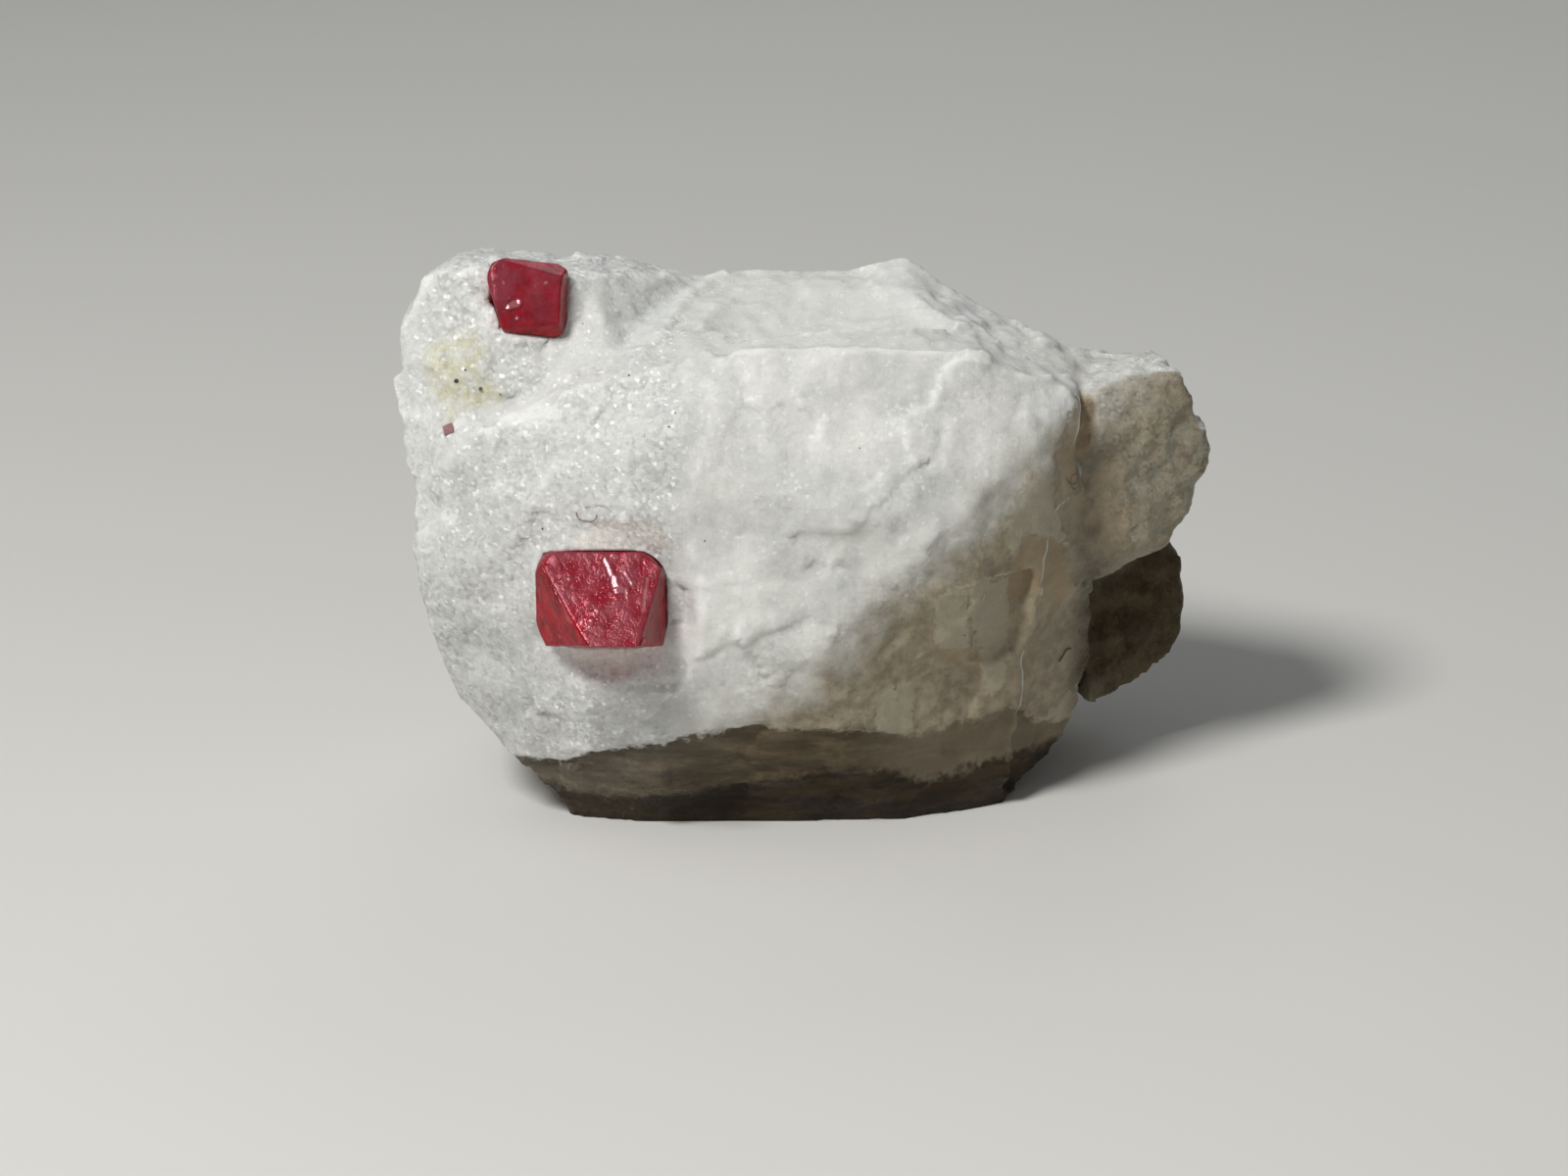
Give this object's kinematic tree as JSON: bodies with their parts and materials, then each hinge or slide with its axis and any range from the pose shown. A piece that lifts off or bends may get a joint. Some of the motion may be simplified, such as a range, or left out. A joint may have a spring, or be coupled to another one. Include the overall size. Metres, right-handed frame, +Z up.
{
  "type": "mineral specimen",
  "caption": "Red spinel octahedra standing in a broken block of white marble, a free-standing mineral specimen.",
  "frame": {"origin": "middle of the bounding box, on the flat base the specimen stands on", "axes": "+Z up, +X along the length of the block to the right, -Y out of the face that carries the large crystal"},
  "size_m": [0.0552, 0.037, 0.0402],
  "materials": {
    "marble": "broken, sugary, with brown staining low on the right",
    "spinel": "glassy, with rounded edges and a faint haze",
    "spinel_pale": "cloudy"
  },
  "bodies": {
    "root": {"matrix": "marble", "spinel_large": "spinel", "spinel_upper": "spinel", "spinel_grain": "spinel_pale"}
  },
  "joints": []
}
